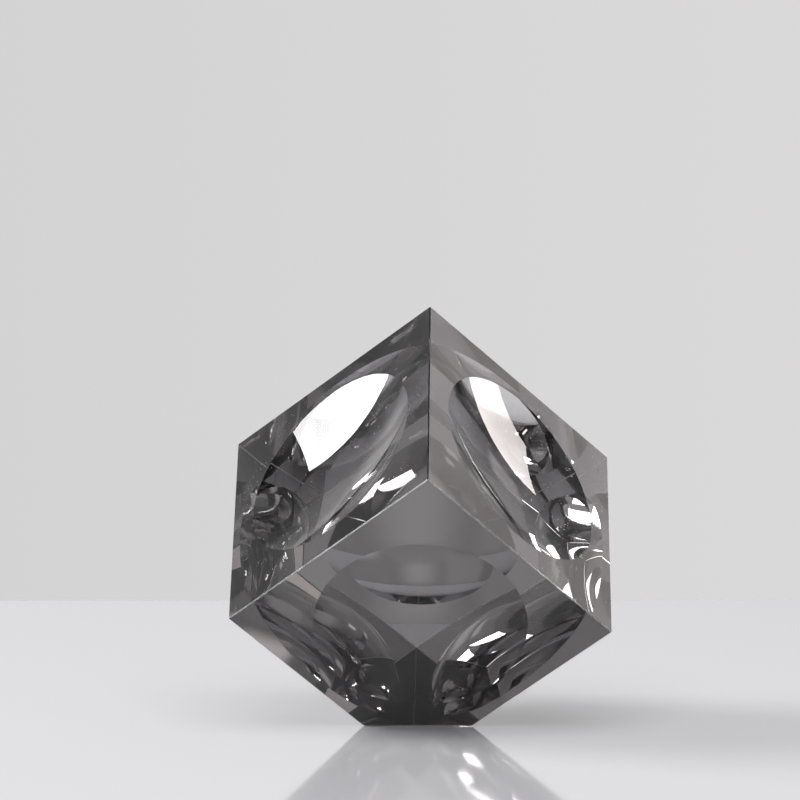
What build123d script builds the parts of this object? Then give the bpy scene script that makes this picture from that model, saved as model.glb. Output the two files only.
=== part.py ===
"""Smoked crystal cube that stands on one ground-off corner, with a shallow round hollow in each face.

The whole ornament is one piece of optical glass: a sawn cube, six lens-ground hollows, one flat facet
across a corner to stand on, and a hairline polished arris along every straight edge. The rims of the
hollows meet the faces so bluntly that they need no arris.

Row frame, in millimetres: the standing facet lies on Z = 0 with its centre at the origin, +Z is up,
and one upper edge of the cube comes down towards -Y, so two faces look up and sideways from it.
"""

from build123d import *
from math import atan2, degrees, sqrt
import os

# Driving dimensions
BLOCK_EDGE = 53.5  # edge of the sawn cube, from flat face to flat face
LAND_WIDTH = 5.6  # flat border between a hollow's rim and the cube's edge, at its narrowest
HOLLOW_DEPTH = 4.0  # depth of each hollow at its centre
CORNER_CUT = 8.9  # height of the corner that is ground away, measured square to the standing facet
FACET_LEAN = 2.1  # degrees by which the standing facet is out of square with the body diagonal
EDGE_ARRIS = 0.2  # leg of the polished flat along every straight edge

# Worked out from them
HOLLOW_RADIUS = BLOCK_EDGE / 2 - LAND_WIDTH
SPHERE_RADIUS = (HOLLOW_RADIUS**2 + HOLLOW_DEPTH**2) / (2 * HOLLOW_DEPTH)
DIAGONAL_TO_FACE = degrees(atan2(sqrt(2), 1))  # a cube's body diagonal to each face's normal
HALF_CORNER = 45  # degrees in plan from a face's normal to the corner beside it

AXIS_DIRECTIONS = (Vector(1, 0, 0), Vector(0, 1, 0), Vector(0, 0, 1))
FACE_NORMALS = [direction * side for direction in AXIS_DIRECTIONS for side in (1, -1)]


def stood_on_corner(shape):
    """Turns a cube that is square to the axes so that a body diagonal is upright, then lets it lean to +X."""
    turned = shape.rotate(Axis.Z, HALF_CORNER).rotate(Axis.X, -DIAGONAL_TO_FACE)
    return turned.rotate(Axis.Y, FACET_LEAN)


def sawn_cube():
    """The blank, centred on the origin and square to the axes."""
    return Box(BLOCK_EDGE, BLOCK_EDGE, BLOCK_EDGE)


def lens_tool(normal):
    """The ball that grinds one hollow: it bites HOLLOW_DEPTH below the face with this outward normal.

    Its X axis points away from the block, so neither the ball's seam nor a pole lands in the hollow.
    """
    centre = normal * (BLOCK_EDGE / 2 - HOLLOW_DEPTH + SPHERE_RADIUS)
    sideways = Vector(normal.Y, normal.Z, normal.X)
    return Plane(origin=centre, x_dir=normal, z_dir=sideways) * Sphere(SPHERE_RADIUS)


def grind_corner(block):
    """Takes the lowest corner of the standing block off with a level cut, and returns the block."""
    corner_height = min(v.Z for v in block.vertices())
    level = corner_height + CORNER_CUT
    return split(block, bisect_by=Plane.XY.offset(level), keep=Keep.TOP)


def set_on_facet(block):
    """Moves the finished block so that the standing facet's centre is the origin."""
    facet = block.faces().sort_by(Axis.Z)[0]
    return block.translate(-facet.center())


def crystal_block():
    """The finished ornament."""
    block = grind_corner(stood_on_corner(sawn_cube()))
    block = chamfer(block.edges(), EDGE_ARRIS)
    for normal in FACE_NORMALS:
        block -= stood_on_corner(lens_tool(normal))
    return set_on_facet(block)


os.makedirs("parts", exist_ok=True)
block = crystal_block()
export_step(block, "parts/crystal_block.step")

size = block.bounding_box().size
facet = block.faces().sort_by(Axis.Z)[0]
print(f"overall {size.X:.2f} x {size.Y:.2f} x {size.Z:.2f} mm, volume {block.volume / 1000:.1f} cm3")
print(f"hollow diameter {2 * HOLLOW_RADIUS:.2f} mm, ground to a sphere of radius {SPHERE_RADIUS:.2f} mm")
print(f"standing facet {facet.area:.1f} mm2, {len(block.faces())} faces in all")
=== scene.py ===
# %% [markdown]
# # A smoked crystal cube, standing on one corner
#
# The ornament is one piece of grey optical glass: a cube with a shallow round hollow ground into each
# face, balanced on a small facet where one corner was ground away. Nothing on it moves.
#
# Clear glass has no look of its own. What we see is the room, bent and mirrored inside the block, so this
# lesson spends its care on three things: an exact surface, a true glass, and a believable studio.

# %% Load the fixed frame
from math import asin, atan2, cos, radians, sin, sqrt

import bmesh
import bpy
from mathutils import Matrix, Vector


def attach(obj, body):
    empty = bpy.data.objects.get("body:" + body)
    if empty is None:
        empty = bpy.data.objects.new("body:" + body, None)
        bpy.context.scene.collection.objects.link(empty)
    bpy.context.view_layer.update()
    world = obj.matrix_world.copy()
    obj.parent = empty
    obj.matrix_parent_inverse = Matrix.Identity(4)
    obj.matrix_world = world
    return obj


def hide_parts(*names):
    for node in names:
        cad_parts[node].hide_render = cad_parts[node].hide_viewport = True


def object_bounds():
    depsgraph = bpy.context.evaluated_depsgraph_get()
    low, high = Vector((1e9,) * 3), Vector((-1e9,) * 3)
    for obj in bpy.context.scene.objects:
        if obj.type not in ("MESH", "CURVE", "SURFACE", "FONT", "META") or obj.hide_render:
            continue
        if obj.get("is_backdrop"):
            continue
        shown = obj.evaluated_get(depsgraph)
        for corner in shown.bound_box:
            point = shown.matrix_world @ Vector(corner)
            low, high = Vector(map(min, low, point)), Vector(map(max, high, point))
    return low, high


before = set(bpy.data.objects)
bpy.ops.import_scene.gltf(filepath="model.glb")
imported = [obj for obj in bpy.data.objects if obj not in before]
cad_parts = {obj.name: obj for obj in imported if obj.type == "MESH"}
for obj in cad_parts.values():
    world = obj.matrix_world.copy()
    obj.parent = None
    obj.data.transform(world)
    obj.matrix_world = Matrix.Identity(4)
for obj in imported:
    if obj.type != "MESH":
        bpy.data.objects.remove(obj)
cad_low, cad_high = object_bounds()
print("CAD box in mm:", [round(1000 * v, 2) for v in (*cad_low, *cad_high)])

# %% [markdown]
# ## The sizes that the lens grinder works to
#
# These are the block's few real dimensions. The ball that grinds a hollow follows from the hollow's width
# and depth: a chord and its sagitta fix the radius of the circle. Writing the rule, and not its result,
# means that one changed number keeps the whole block true.

# %% The block's dimensions, in metres
BLOCK_EDGE = 0.0535
LAND_WIDTH = 0.0056  # flat border beside each hollow, at its narrowest
HOLLOW_DEPTH = 0.0040
CORNER_CUT = 0.0089  # height of the corner that is ground away
FACET_LEAN = radians(2.1)
EDGE_ARRIS = 0.0002

HOLLOW_RADIUS = BLOCK_EDGE / 2 - LAND_WIDTH
BALL_RADIUS = (HOLLOW_RADIUS**2 + HOLLOW_DEPTH**2) / (2 * HOLLOW_DEPTH)
print(f"each hollow is {2000 * HOLLOW_RADIUS:.1f} mm wide, on a ball of {1000 * BALL_RADIUS:.1f} mm radius")

# %% [markdown]
# ## Standing the cube on its corner
#
# A cube that stands on a corner has its body diagonal upright. An eighth of a turn about Z brings a corner
# to the front, and a tip about X, by the angle between the diagonal and a face's normal, lifts it. The
# facet on this block was ground 2.1 degrees out of square, so the block leans a little to its right.
# A matrix keeps that in one place, for the block and for the balls that grind it.

# %% The turn from square to standing
diagonal_to_face = atan2(sqrt(2), 1)
STAND = (
    Matrix.Rotation(FACET_LEAN, 4, "Y")
    @ Matrix.Rotation(-diagonal_to_face, 4, "X")
    @ Matrix.Rotation(radians(45), 4, "Z")
)
FACE_NORMALS = [Vector(axis) * side for axis in ((1, 0, 0), (0, 1, 0), (0, 0, 1)) for side in (1, -1)]
corner_up = STAND @ Vector((-1, -1, 1)).normalized()
print("the upper corner points along", [round(v, 3) for v in corner_up])

# %% [markdown]
# ## Sawing the blank
#
# The blank could be typed in as corners and faces, but grinding it is simpler to follow: start with a
# cube, slice the lowest corner off level, and take a hairline flat, the arris, off every edge. A real
# polisher does that last, because a knife-sharp glass edge chips. The arris faces are marked as they are
# cut, so that the finish can find them later.


# %% The blank: cube, standing facet and arrises
def sawn_blank():
    blank = bmesh.new()
    bmesh.ops.create_cube(blank, size=BLOCK_EDGE)
    bmesh.ops.transform(blank, matrix=STAND, verts=blank.verts)
    facet_level = min(v.co.z for v in blank.verts) + CORNER_CUT
    everything = [*blank.verts, *blank.edges, *blank.faces]
    bmesh.ops.bisect_plane(
        blank, geom=everything, plane_co=(0, 0, facet_level), plane_no=(0, 0, -1), clear_outer=True
    )
    bmesh.ops.holes_fill(blank, edges=[e for e in blank.edges if e.is_boundary])
    arris = blank.faces.layers.float.new("arris")
    cut = bmesh.ops.bevel(
        blank, geom=blank.edges[:], offset=EDGE_ARRIS, offset_type="OFFSET", segments=1,
        affect="EDGES", clamp_overlap=False,
    )
    for face in cut["faces"]:
        face[arris] = 1.0
    return blank, facet_level


blank, facet_level = sawn_blank()
stands_under = round(-1000 * facet_level, 2)
print("the blank has", len(blank.faces), "flat faces, and stands", stands_under, "mm under its centre")

# %% [markdown]
# ## Grinding the hollows
#
# A boolean with a sphere would also cut a hollow, but it leaves long slivers where the two meshes meet,
# and glass shows every sliver as a streak. So each hollow is laid out as a lens grinder would see it: a
# round rim, then rings that step down the ball to the centre. The flat land round it is refilled between
# the face's outline and the rim. The rings' own angles come from the ball, so the points are exactly on it.

# %% One ground hollow in one face
RIM_POINTS = 160
RINGS = 26
print("each hollow gets", RINGS, "rings of", RIM_POINTS, "points")


def grind_hollow(blank, normal):
    """Replaces the face with this outward normal by a flat land round a spherical hollow."""
    out = STAND.to_3x3() @ normal
    across = out.orthogonal().normalized()
    along = out.cross(across)
    face = max(blank.faces, key=lambda f: f.normal.dot(out) * f.calc_area())
    outline = face.edges[:]
    blank.faces.remove(face)
    ball_centre = out * (BLOCK_EDGE / 2 - HOLLOW_DEPTH + BALL_RADIUS)
    rim_angle = asin(HOLLOW_RADIUS / BALL_RADIUS)
    rings = []
    for step in range(RINGS):
        tilt = rim_angle * (1 - step / RINGS)
        ring = []
        for point in range(RIM_POINTS):
            turn = radians(360) * point / RIM_POINTS
            sideways = across * cos(turn) + along * sin(turn)
            from_ball = BALL_RADIUS * (sideways * sin(tilt) - out * cos(tilt))
            ring.append(blank.verts.new(ball_centre + from_ball))
        rings.append(ring)
    rim = [blank.edges.new((a, b)) for a, b in zip(rings[0], rings[0][1:] + rings[0][:1])]
    bmesh.ops.triangle_fill(blank, use_beauty=True, edges=outline + rim, normal=out)
    hollow = []
    for upper, lower in zip(rings, rings[1:]):
        for a in range(RIM_POINTS):
            b = (a + 1) % RIM_POINTS
            hollow.append(blank.faces.new((upper[a], upper[b], lower[b], lower[a])))
    bottom = blank.verts.new(ball_centre - BALL_RADIUS * out)
    for a in range(RIM_POINTS):
        hollow.append(blank.faces.new((rings[-1][a], rings[-1][(a + 1) % RIM_POINTS], bottom)))
    return hollow, ball_centre


# %% All six hollows, each with a number that leads back to its ball
balls = {}
for number, normal in enumerate(FACE_NORMALS, start=1):
    hollow, ball_centre = grind_hollow(blank, normal)
    for face in hollow:
        face.material_index = number
    balls[number] = ball_centre
bmesh.ops.recalc_face_normals(blank, faces=blank.faces)
open_edges = sum(e.is_boundary for e in blank.edges)
print("the ground block has", len(blank.faces), "faces and", open_edges, "open edges")

# %% [markdown]
# ## Exact normals
#
# Light bends by the surface's normal, so a hollow shaded flat would look like a mirror ball, and plain
# smooth shading would round the rim off. Each hollow's corners get the direction to the centre of their
# own ball, and every flat face keeps its own normal. The rim then stays a crisp line.


# %% From the working mesh to the finished piece
def finish_mesh(blank):
    mesh = bpy.data.meshes.new("crystal_block_polished")
    blank.to_mesh(mesh)
    blank.free()
    mesh.polygons.foreach_set("use_smooth", [True] * len(mesh.polygons))
    corner_normals = [None] * len(mesh.loops)
    for polygon in mesh.polygons:
        ball = balls.get(polygon.material_index)
        for corner in polygon.loop_indices:
            point = mesh.vertices[mesh.loops[corner].vertex_index].co
            corner_normals[corner] = polygon.normal if ball is None else (ball - point).normalized()
    mesh.polygons.foreach_set("material_index", [0] * len(mesh.polygons))
    mesh.normals_split_custom_set(corner_normals)
    return mesh


block = bpy.data.objects.new("crystal_block_polished", finish_mesh(blank))
bpy.context.collection.objects.link(block)
own_low = Vector([min(v.co[i] for v in block.data.vertices) for i in range(3)])
block_centre = cad_low - own_low
block.data.transform(Matrix.Translation(block_centre))
print("block centre in mm:", [round(1000 * v, 2) for v in block_centre])

# %% [markdown]
# ## Smoked optical glass
#
# The grey of smoked glass is in the glass and not on it: light loses a share for every millimetre that it
# travels, so thin corners look pale and long paths look black. A tinted surface colour can't do that, so
# the surface is clear and a Volume Absorption inside does the darkening. Its colour is the light that it
# spares: a trace of red makes the grey a little warm, as smoked glass is.

# %% The clear body of the glass
OPTICAL_CROWN_IOR = 1.5168
SMOKE_PER_METRE = 26.0
glass = bpy.data.materials.new("polished_smoked_crystal")
glass.use_nodes = True
shader = glass.node_tree.nodes["Principled BSDF"]
shader.inputs["Base Color"].default_value = (1, 1, 1, 1)
shader.inputs["IOR"].default_value = OPTICAL_CROWN_IOR
shader.inputs["Transmission Weight"].default_value = 1.0
smoke = glass.node_tree.nodes.new("ShaderNodeVolumeAbsorption")
smoke.inputs["Color"].default_value = (0.03, 0.0, 0.005, 1)
smoke.inputs["Density"].default_value = SMOKE_PER_METRE
glass_output = glass.node_tree.nodes["Material Output"]
glass.node_tree.links.new(smoke.outputs["Volume"], glass_output.inputs["Volume"])
block.data.materials.append(glass)
print("smoke:", SMOKE_PER_METRE, "per metre, over a cube edge of", 1000 * BLOCK_EDGE, "mm")

# %% [markdown]
# ## What handling leaves on a polished surface
#
# Perfect glass looks like a computer drew it. The real block's arrises are ground with a finer wheel and
# never fully polished, so they are slightly frosted and catch the light as thin bright lines. Dust settles
# on the faces that look up, in specks, thicker in some patches than in others. Both are a change of
# roughness, so both end in one number per point. They could be painted by hand, but a rule in real metres
# gives the same dust each time. Two small helpers keep the node work readable: one makes a node and fills
# its inputs by name, and the other does one sum.


# %% Helpers for node trees
def shade_node(tree, kind, **settings):
    """Makes one node, and sets its inputs by name: numbers are typed in, and sockets are linked."""
    node = tree.nodes.new("ShaderNode" + kind)
    for key, value in settings.items():
        socket = node.inputs[key.replace("_", " ")]
        if isinstance(value, bpy.types.NodeSocket):
            tree.links.new(value, socket)
        else:
            socket.default_value = value
    return node


def math_node(tree, operation, *values, clamp=False):
    """One sum on numbers and sockets, which gives a socket."""
    node = tree.nodes.new("ShaderNodeMath")
    node.operation = operation
    node.use_clamp = clamp
    for socket, value in zip(node.inputs, values):
        if isinstance(value, bpy.types.NodeSocket):
            tree.links.new(value, socket)
        else:
            socket.default_value = value
    return node.outputs[0]


finish = glass.node_tree
where = finish.nodes.new("ShaderNodeTexCoord").outputs["Object"]
print("the glass starts with", len(finish.nodes), "nodes")

# %% Dust: cells in real metres, with specks that grow where the noise is high
DUST_SPACING = 0.0008
DUST_FROST = 0.5
PATCHES_PER_METRE = 90.0
NOISE_OF_BARE_PATCH = 0.34
NOISE_OF_FULL_PATCH = 0.66
LARGEST_SPECK = 0.2  # its radius, as a share of the spacing
SPECK_CRISPNESS = 12.0
UPWARD_GAIN = 1.8  # so a normal with a Z of 1 / 1.8 or more holds all its dust

cells = shade_node(finish, "TexVoronoi", Vector=where, Scale=1 / DUST_SPACING)
patches = shade_node(finish, "TexNoise", Vector=where, Scale=PATCHES_PER_METRE, Detail=3.0)
speck_size = shade_node(
    finish, "MapRange", Value=patches.outputs["Fac"],
    From_Min=NOISE_OF_BARE_PATCH, From_Max=NOISE_OF_FULL_PATCH, To_Min=0.0, To_Max=LARGEST_SPECK,
)
inside_speck = math_node(finish, "SUBTRACT", speck_size.outputs["Result"], cells.outputs["Distance"])
speck = math_node(finish, "MULTIPLY", inside_speck, SPECK_CRISPNESS, clamp=True)
surface_normal = finish.nodes.new("ShaderNodeNewGeometry").outputs["Normal"]
upward = shade_node(finish, "SeparateXYZ", Vector=surface_normal).outputs["Z"]
held = math_node(finish, "MULTIPLY", upward, UPWARD_GAIN, clamp=True)
dust = math_node(finish, "MULTIPLY", speck, held)
print("dust specks are up to", round(2000 * DUST_SPACING * LARGEST_SPECK, 2), "mm wide")

# %% The frosted arrises join the dust in one roughness
ARRIS_FROST = 0.28
on_arris = finish.nodes.new("ShaderNodeAttribute")
on_arris.attribute_name = "arris"
dust_frost = math_node(finish, "MULTIPLY", dust, DUST_FROST)
frost = math_node(finish, "MULTIPLY_ADD", on_arris.outputs["Fac"], ARRIS_FROST, dust_frost)
finish.links.new(frost, shader.inputs["Roughness"])
print("the finish has", len(finish.nodes), "nodes")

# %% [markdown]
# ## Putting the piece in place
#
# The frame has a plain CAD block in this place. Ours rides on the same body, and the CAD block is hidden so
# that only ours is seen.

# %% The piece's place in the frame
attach(block, "root")
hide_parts("crystal_block")
print(block.name, "has", len(block.data.polygons), "polygons")

# %% [markdown]
# ## The table
#
# A plain pale lacquered table, polished enough to mirror the block at this low angle. A thin slab would do,
# but only its top is ever seen, so it is one sheet. It lies a hair under the facet, because two surfaces in
# the same place flicker. Its far edge is the line behind the block.


# %% The table
def plain_sheet(name, corners, material):
    mesh = bpy.data.meshes.new(name)
    mesh.from_pydata(corners, [], [tuple(range(len(corners)))])
    mesh.materials.append(material)
    sheet = bpy.data.objects.new(name, mesh)
    bpy.context.collection.objects.link(sheet)
    sheet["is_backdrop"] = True
    return sheet


TABLE_BEHIND_BLOCK = 4.14 * BLOCK_EDGE
TABLE_BACK = block_centre.y + TABLE_BEHIND_BLOCK
TABLE_REACH = 3.0
TABLE_TOP = -0.00002
lacquer_paint = bpy.data.materials.new("table_lacquer")
lacquer_paint.use_nodes = True
lacquer = lacquer_paint.node_tree.nodes["Principled BSDF"]
lacquer.inputs["Base Color"].default_value = (0.54, 0.535, 0.56, 1)
lacquer.inputs["Roughness"].default_value = 0.06
lacquer.inputs["IOR"].default_value = 1.6
table_corners = [
    (-TABLE_REACH, -TABLE_REACH, TABLE_TOP),
    (TABLE_REACH, -TABLE_REACH, TABLE_TOP),
    (TABLE_REACH, TABLE_BACK, TABLE_TOP),
    (-TABLE_REACH, TABLE_BACK, TABLE_TOP),
]
plain_sheet("table", table_corners, lacquer_paint)
print("the table's far edge is", round(1000 * TABLE_BACK), "mm behind the origin")

# %% [markdown]
# ## Soft boxes
#
# A soft box is a lamp behind stretched white cloth. On glass it isn't only a light: its mirrored shape is
# what we see, as the white shape in the left hollow and the pale band in the right one. So each box is a
# bright sheet with real corners, and not one of Blender's lamps. The corners are written as the directions
# in which the block sees them, since the direction decides most about where a mirrored corner lands.


# %% Helpers for aiming and for glowing cloth
def towards(azimuth, elevation, distance):
    """A point seen from the block: azimuth 0 is straight behind it, and 90 is to its right."""
    a, e = radians(azimuth), radians(elevation)
    return block_centre + distance * Vector((sin(a) * cos(e), cos(a) * cos(e), sin(e)))


def glowing(name, colour=(1, 1, 1), strength=1.0):
    """A material that only gives light, and the node that sets its colour."""
    material = bpy.data.materials.new(name)
    material.use_nodes = True
    tree = material.node_tree
    tree.nodes.clear()
    glow = tree.nodes.new("ShaderNodeEmission")
    glow.inputs["Color"].default_value = (*colour, 1)
    glow.inputs["Strength"].default_value = strength
    output = tree.nodes.new("ShaderNodeOutputMaterial")
    tree.links.new(glow.outputs[0], output.inputs["Surface"])
    return material, glow


def soft_box(name, corners, distance, strength, colour=(1, 1, 1)):
    cloth, _ = glowing(name + "_cloth", colour, strength)
    box = plain_sheet(name, [towards(a, e, distance) for a, e in corners], cloth)
    box.visible_camera = False
    box.visible_shadow = False
    print(name, "at", distance, "m, strength", strength)
    return box


print("1 m straight behind the block is at", [round(v, 3) for v in towards(0, 0, 1)])

# %% The boxes that the block mirrors
BOX_DISTANCE = 0.64
PINKISH_WHITE = (1, 0.93, 0.91)
key_corners = [(-55, 0), (-95, 0), (-93, 40), (-65.4, 40.2)]
key_box = soft_box("key_soft_box", key_corners, distance=BOX_DISTANCE, strength=17)
side_corners = [(58, 8), (76, 11), (74, 29.5), (55.5, 33)]
side_box = soft_box("side_soft_box", side_corners, BOX_DISTANCE, strength=9.5, colour=PINKISH_WHITE)
strips = []
for side, name in ((-1, "left_edge_strip"), (1, "right_edge_strip")):
    strip_corners = [(side * 110, -3), (side * 132, -3), (side * 132, 13), (side * 110, 13)]
    strips.append(soft_box(name, strip_corners, BOX_DISTANCE, strength=26))

# %% [markdown]
# ## Which light may go where
#
# A studio hides unwanted light with black card. Blender lets us say it outright. The side box and the two
# strips, which draw the bright lines along the lower arrises, are seen only as mirror images, because seen
# through the glass they would add bright shapes that aren't wanted. Light linking keeps all four boxes on
# the block and off the glossy table, which would otherwise glare in a view from the right.

# %% What each box may light
for box in (side_box, *strips):
    box.visible_transmission = False

block_only = bpy.data.collections.new("lit_by_the_boxes")
block_only.objects.link(block)
for box in (key_box, side_box, *strips):
    box.visible_diffuse = False
    box.light_linking.receiver_collection = block_only

# %% [markdown]
# ## Light for the table
#
# The table gets its own two lights, which the glass can't mirror: one from the key's side, for the soft
# shadow to the right, and a broad one from the front and above, for the faint shadow behind the block.

# %% The light that falls on the table
table_light_corners = [(-55, 10), (-95, 10), (-93, 45), (-62, 45)]
table_light = soft_box("table_light", table_light_corners, distance=1.6, strength=14)
fill_corners = [(-155, 35), (-115, 62), (115, 62), (155, 35)]
fill_box = soft_box("fill_soft_box", fill_corners, distance=1.4, strength=4.3)
for box in (table_light, fill_box):
    box.visible_glossy = False
    box.visible_transmission = False

# %% [markdown]
# ## The backdrop
#
# A sheet of pale paper hangs far behind the table. It glows by itself, so no lamp has to be aimed at it:
# its light is painted, a little brighter to the right, as if more light fell there.
# The camera and the table see it, but through the glass the painted room below shows instead, so the two
# can be tuned apart.

# %% The backdrop
# painted light: the paper's glow is dimmer at its left and brighter at its right, across the part that the
# camera sees
PAPER_DISTANCE = 3.0
PAPER_HALF = 1.3
SHADE_HALF = 0.28  # the part that the camera sees, from the darker tone to the lighter
PAINTED_PAPER_LIGHT_LEFT = (0.66, 0.652, 0.655, 1)
PAINTED_PAPER_LIGHT_RIGHT = (0.70, 0.69, 0.695, 1)

paper, paper_glow = glowing("glowing_backdrop_paper")
shading = paper.node_tree
on_paper = shading.nodes.new("ShaderNodeTexCoord").outputs["Object"]
sideways = shade_node(shading, "SeparateXYZ", Vector=on_paper).outputs["X"]
from_left = shade_node(shading, "MapRange", Value=sideways, From_Min=-SHADE_HALF, From_Max=SHADE_HALF)
tone = shade_node(shading, "ValToRGB", Fac=from_left.outputs["Result"])
tone.color_ramp.elements[0].color = PAINTED_PAPER_LIGHT_LEFT
tone.color_ramp.elements[1].color = PAINTED_PAPER_LIGHT_RIGHT
shading.links.new(tone.outputs["Color"], paper_glow.inputs["Color"])

paper_corners = [
    (-PAPER_HALF, PAPER_DISTANCE, -PAPER_HALF),
    (PAPER_HALF, PAPER_DISTANCE, -PAPER_HALF),
    (PAPER_HALF, PAPER_DISTANCE, PAPER_HALF),
    (-PAPER_HALF, PAPER_DISTANCE, PAPER_HALF),
]
backdrop = plain_sheet("backdrop", paper_corners, paper)
backdrop.visible_transmission = False
print("the backdrop hangs", PAPER_DISTANCE, "m behind")

# %% [markdown]
# ## The room
#
# Glass gathers light from every side, so the whole room counts: pale walls behind, a dark ceiling, a dim
# right-hand side. Building furniture for that would be slow to tune. Instead the room is painted on the
# world, one soft-edged patch over another, each at a direction as the block sees it.


# %% Helpers that paint on the world
world = bpy.data.worlds.new("studio_room")
bpy.context.scene.world = world
world.use_nodes = True
room = world.node_tree
background = room.nodes["Background"]
looking = room.nodes.new("ShaderNodeTexCoord").outputs["Generated"]
print("the world starts with", len(room.nodes), "nodes")


def near_zero(value, reach, softness):
    """1 while the value is within its reach of zero, fading smoothly to 0."""
    fade = shade_node(
        room, "MapRange", Value=math_node(room, "ABSOLUTE", value),
        From_Min=radians(reach + softness), From_Max=radians(max(reach - softness, 0)),
    )
    fade.interpolation_type = "SMOOTHSTEP"
    return fade.outputs["Result"]


def paint(below, name, azimuth, elevation, half_width, half_height, softness, radiance, colour=(1, 1, 1)):
    """Lays one soft-edged patch of light over what is already painted. Angles are in degrees."""
    turn = room.nodes.new("ShaderNodeVectorRotate")
    turn.rotation_type = "Z_AXIS"
    turn.inputs["Angle"].default_value = radians(azimuth)
    room.links.new(looking, turn.inputs["Vector"])
    split = shade_node(room, "SeparateXYZ", Vector=turn.outputs[0])
    aside = math_node(room, "ARCTAN2", split.outputs["X"], split.outputs["Y"])
    height = math_node(room, "ARCSINE", split.outputs["Z"])
    above = math_node(room, "SUBTRACT", height, radians(elevation))
    in_width = near_zero(aside, half_width, softness)
    in_height = near_zero(above, half_height, softness)
    mask = math_node(room, "MULTIPLY", in_width, in_height)
    tint = room.nodes.new("ShaderNodeMix")
    tint.name = "zone_" + name
    tint.data_type = "RGBA"
    room.links.new(mask, tint.inputs["Factor"])
    # a Mix node for colours takes them on its sockets 6 and 7, and gives the result on 2
    room.links.new(below, tint.inputs[6])
    tint.inputs[7].default_value = (*(radiance * c for c in colour), 1)
    return tint.outputs[2]


# %% The painted room
WALLS = 0.43
WARM_WHITE = (1.05, 0.98, 0.98)
ALL_ROUND = 181  # half of a full turn, and a little more
ZONES = [
    # name, azimuth, elevation, half width, half height, softness, radiance, colour
    ("behind", 0, -2, 10, 12, 4, 0.44),
    ("behind_upper", 0, 14, 12, 7, 2, 0.52),
    ("middle_left", -16, 0, 7, 12, 2, 0.46),
    ("middle_right", 16, 0, 7, 12, 2, 0.56),
    ("back_left", -41, 5, 18, 17, 2, 0.5),
    ("back_right", 32, 5, 9, 17, 2, 0.36),
    ("high_left", -45, 30, 22, 8, 3, 0.45),
    ("high_behind", 0, 28, 22, 7, 3, 0.5),
    ("high_right", 36, 27, 14, 8, 3, 0.35),
    ("left_glow", -27, 15, 13, 6, 4, 1.1),
    ("right_back", 48, 12, 9, 24, 2, 0.28),
    ("right_sheen", 45, 22.5, 4, 4, 1.5, 1.3, WARM_WHITE),
    ("paper_patch", 0, -2, 4.5, 8, 4, 0.74),
    ("right", 67, 20, 9, 13, 2, 0.2),
    ("right_low", 60, -2, 16, 10, 2, 0.08),
    ("right_side", 92, 10, 16, 26, 4, 0.13),
    ("ceiling_edge", 0, 42, ALL_ROUND, 7, 3, 0.3),
    ("ceiling", 0, 57, ALL_ROUND, 8, 3, 0.1),
    ("right_upper", 74, 50, 28, 10, 4, 0.55),
    ("zenith", 0, 90, ALL_ROUND, 25, 3, 0.08),
]
bare_walls = room.nodes.new("ShaderNodeRGB")
bare_walls.name = "zone_walls"
bare_walls.outputs[0].default_value = (WALLS, WALLS, WALLS, 1)
painted = bare_walls.outputs[0]
for name, *patch in ZONES:
    painted = paint(painted, name, *patch)
room.links.new(painted, background.inputs["Color"])
background.inputs["Strength"].default_value = 1.0
print("the room is painted in", len(ZONES), "patches")

# %% [markdown]
# ## The camera
#
# A long lens a little more than a metre away, above the block and looking slightly down on it. A short
# lens close up would also fill the frame, but it would splay the cube's parallel edges.

# %% The camera
LENS_LENGTH = 247.1
SENSOR_WIDTH = 36
CAMERA_YAW = radians(-0.61)
LOOKING_DOWN = radians(4.2425)
CAMERA_FROM_BLOCK = BLOCK_EDGE * Vector((-0.081, -20.4945, 2.0337))

camera_data = bpy.data.cameras.new("camera")
camera_data.lens = LENS_LENGTH
camera_data.sensor_width = SENSOR_WIDTH
camera = bpy.data.objects.new("camera", camera_data)
bpy.context.collection.objects.link(camera)
yaw = Matrix.Rotation(CAMERA_YAW, 4, "Z")
tilt = Matrix.Rotation(radians(90) - LOOKING_DOWN, 4, "X")
camera.matrix_world = Matrix.Translation(block_centre + yaw @ CAMERA_FROM_BLOCK) @ yaw @ tilt
bpy.context.scene.camera = camera
print("the camera is", round(CAMERA_FROM_BLOCK.length, 2), "m from the block")

# %% [markdown]
# ## How far a ray may travel
#
# Inside the block a ray is mirrored many times before it gets out, and too few bounces leave black patches
# in the glass. Light that the glass focuses on the table is switched off, because it comes out as noise.

# %% Ray depth and plain colour
GLASS_BOUNCES = 32
scene = bpy.context.scene
scene.view_settings.view_transform = "Standard"
scene.cycles.max_bounces = GLASS_BOUNCES
scene.cycles.glossy_bounces = GLASS_BOUNCES
scene.cycles.transmission_bounces = GLASS_BOUNCES
scene.cycles.transparent_max_bounces = 8
scene.cycles.caustics_reflective = False
scene.cycles.caustics_refractive = False
print("a ray may bounce", GLASS_BOUNCES, "times")

# %% [markdown]
# ## Checking the size
#
# The glass has to fill the same box as the CAD block. The printed differences between the two boxes should
# all be close to nothing.

# %% Compare the boxes, and finish
low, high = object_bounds()
difference = [1000 * (a - b) for a, b in zip((*low, *high), (*cad_low, *cad_high))]
print("visual box minus CAD box in mm:", [round(v, 3) for v in difference])
